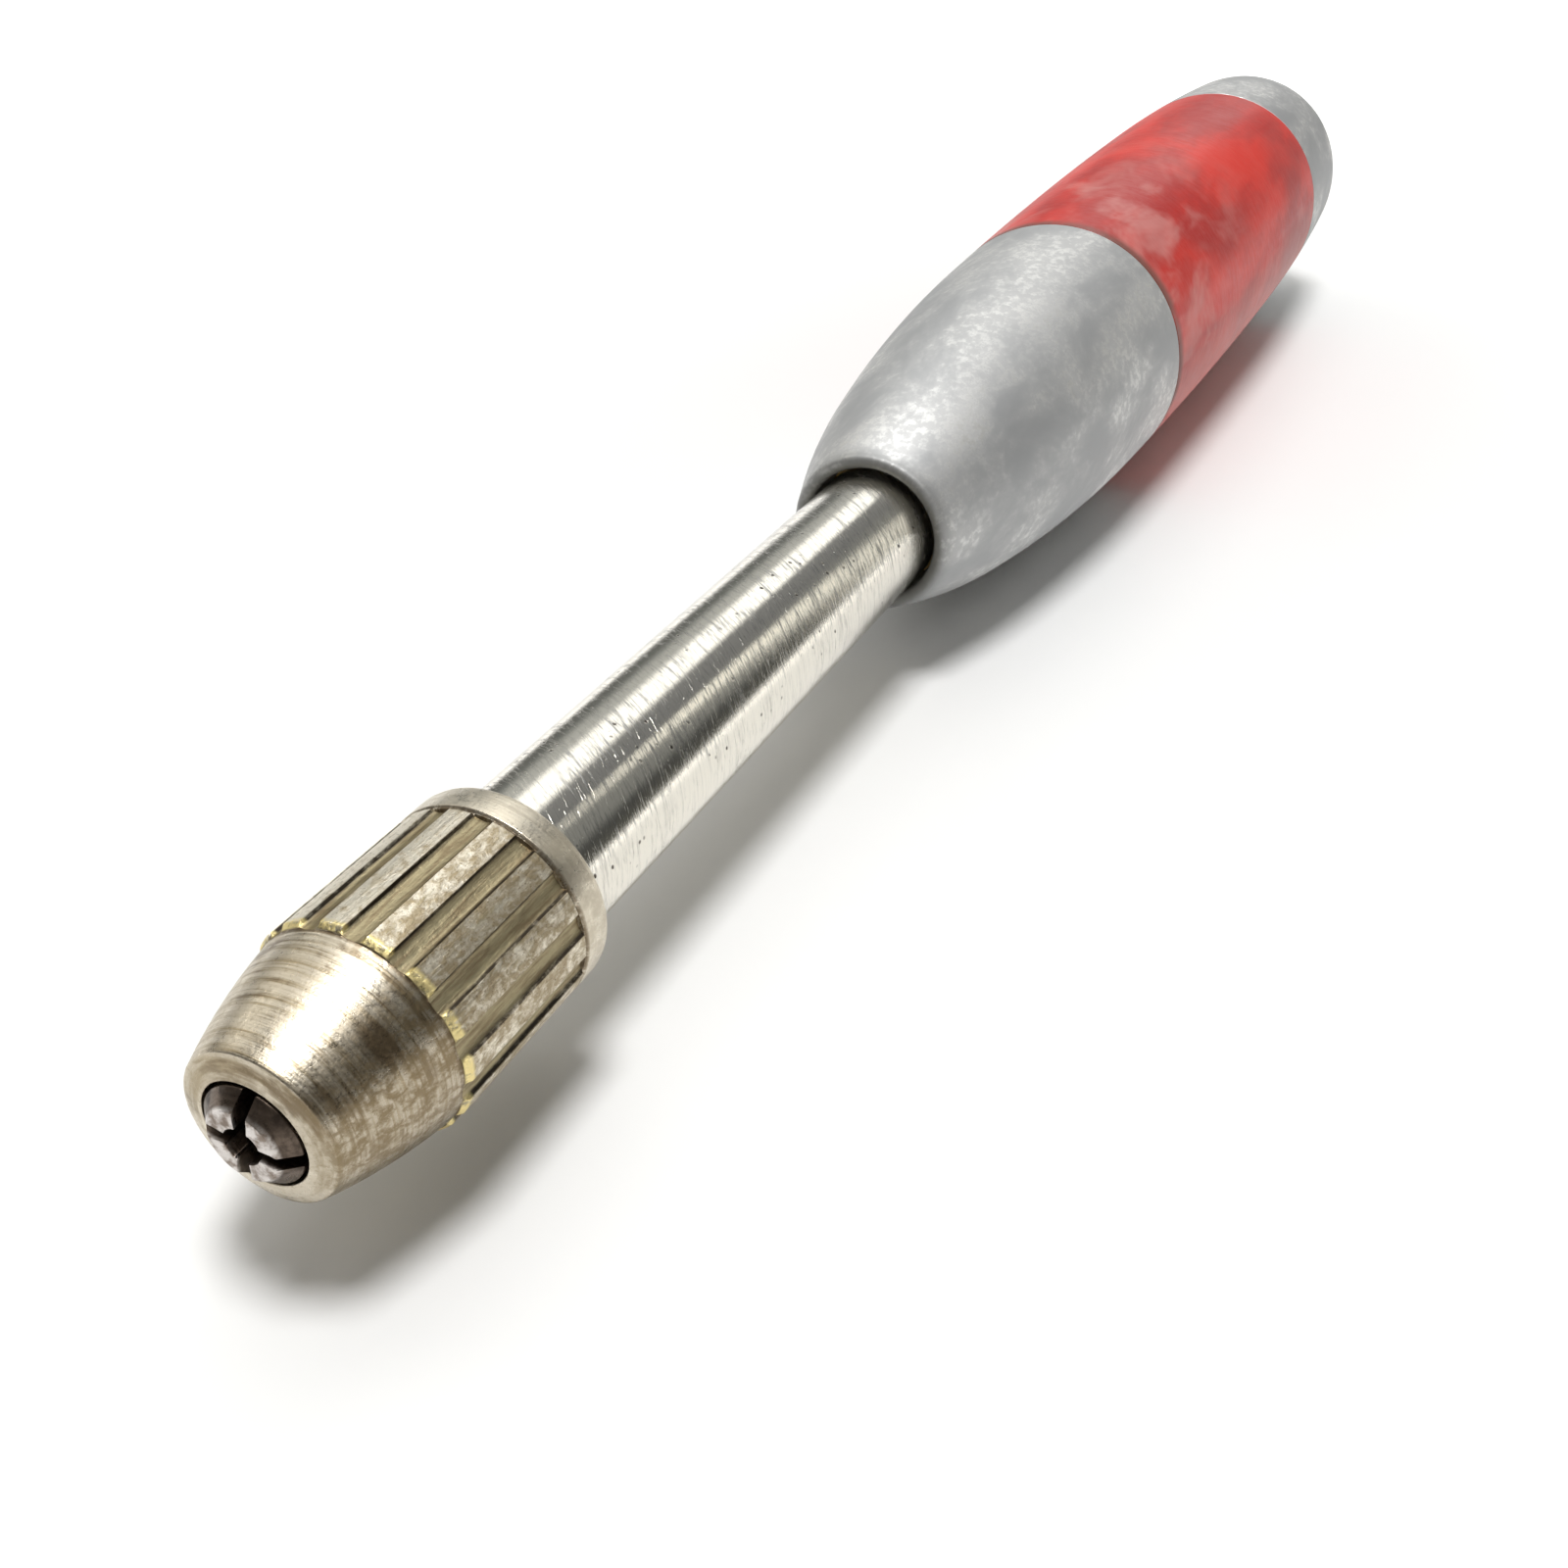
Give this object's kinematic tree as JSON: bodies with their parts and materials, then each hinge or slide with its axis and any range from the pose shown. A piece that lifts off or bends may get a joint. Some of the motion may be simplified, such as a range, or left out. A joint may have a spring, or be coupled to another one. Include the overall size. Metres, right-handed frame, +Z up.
{
  "type": "spiral push drill",
  "caption": "Hand push drill with a sliding tube, a twisted rod inside, a split collet chuck with ridged sleeve, and a torpedo handle",
  "frame": {"origin": "on the axis at the mouth of the collet's bore", "axes": "+Y along the axis from the collet to the tail, +Z up as the tool lies on a table, +X to the right"},
  "size_m": [0.0258, 0.1962, 0.0258],
  "materials": {
    "nickel_plate": "worn nickel plate over brass, turned and lightly tarnished",
    "collet_steel": "bare steel, handled and greyed",
    "bright_plate": "bright plated steel tube with fine scratches",
    "bare_aluminium": "polished aluminium gone satin, with brighter patches",
    "red_enamel": "glossy red enamel over aluminium, rubbed and scratched",
    "brass": "turned brass",
    "bronze": "flat bronze",
    "turned_steel": "turned steel",
    "spring_steel": "oiled spring wire",
    "pressed_steel": "pressed steel sheet",
    "leather": "oiled leather"
  },
  "bodies": {
    "handle": {"front_shell": "bare_aluminium", "front_bush": "brass", "grip_barrel": "red_enamel", "end_cap": "bare_aluminium", "buffer_washer": "leather", "rod_anchor": "turned_steel", "anchor_pin": "turned_steel", "spiral_rod": "turned_steel", "return_spring": "spring_steel"},
    "follower": {"spring_seat": "pressed_steel", "thrust_washer": "bronze"},
    "spindle": {"drive_tube": "bright_plate", "drive_nut": "brass", "nut_pins": "turned_steel", "chuck_body": "turned_steel", "chuck_pin": "turned_steel", "collet_ring": "collet_steel"},
    "closer": {"jaw_ring": "turned_steel"},
    "sleeve": {"chuck_sleeve": "nickel_plate"},
    "leaf_1": {"jaw_1": "collet_steel"},
    "leaf_2": {"jaw_2": "collet_steel"},
    "leaf_3": {"jaw_3": "collet_steel"},
    "leaf_4": {"jaw_4": "collet_steel"}
  },
  "joints": [
    {"name": "stroke", "type": "slide", "parent": "handle", "child": "follower", "axis": [0, 1, 0], "range_m": [0, 0.044], "stiffness_N_per_m": 400, "springref_m": -0.02, "deforming": ["return_spring"]},
    {"name": "spin", "type": "hinge", "parent": "follower", "child": "spindle", "pos_m": [0, 0.0876, 0], "axis": [0, 1, 0], "range_deg": [-721, 0]},
    {"name": "sleeve_travel", "type": "slide", "parent": "spindle", "child": "closer", "axis": [0, 1, 0], "range_m": [-0.0004, 0.0012]},
    {"name": "sleeve_turn", "type": "hinge", "parent": "closer", "child": "sleeve", "pos_m": [0, 0.012, 0], "axis": [0, 1, 0], "range_deg": [-181, 541]},
    {"name": "jaw_1_flex", "type": "hinge", "parent": "spindle", "child": "leaf_1", "pos_m": [0.00172, 0.0136, -0.00221], "axis": [-0.788, 0, -0.6157], "range_deg": [-0.51, 1.51]},
    {"name": "jaw_2_flex", "type": "hinge", "parent": "spindle", "child": "leaf_2", "pos_m": [-0.00221, 0.0136, -0.00172], "axis": [-0.6157, 0, 0.788], "range_deg": [-0.51, 1.51]},
    {"name": "jaw_3_flex", "type": "hinge", "parent": "spindle", "child": "leaf_3", "pos_m": [-0.00172, 0.0136, 0.00221], "axis": [0.788, 0, 0.6157], "range_deg": [-0.51, 1.51]},
    {"name": "jaw_4_flex", "type": "hinge", "parent": "spindle", "child": "leaf_4", "pos_m": [0.00221, 0.0136, 0.00172], "axis": [0.6157, 0, -0.788], "range_deg": [-0.51, 1.51]}
  ],
  "couplings": [
    {"joint": "spin", "follows": "stroke", "rad_per_m": -285.6},
    {"joint": "sleeve_turn", "follows": "sleeve_travel", "rad_per_m": 7854},
    {"joint": "jaw_1_flex", "follows": "sleeve_travel", "rad_per_m": 21.817},
    {"joint": "jaw_2_flex", "follows": "sleeve_travel", "rad_per_m": 21.817},
    {"joint": "jaw_3_flex", "follows": "sleeve_travel", "rad_per_m": 21.817},
    {"joint": "jaw_4_flex", "follows": "sleeve_travel", "rad_per_m": 21.817}
  ]
}
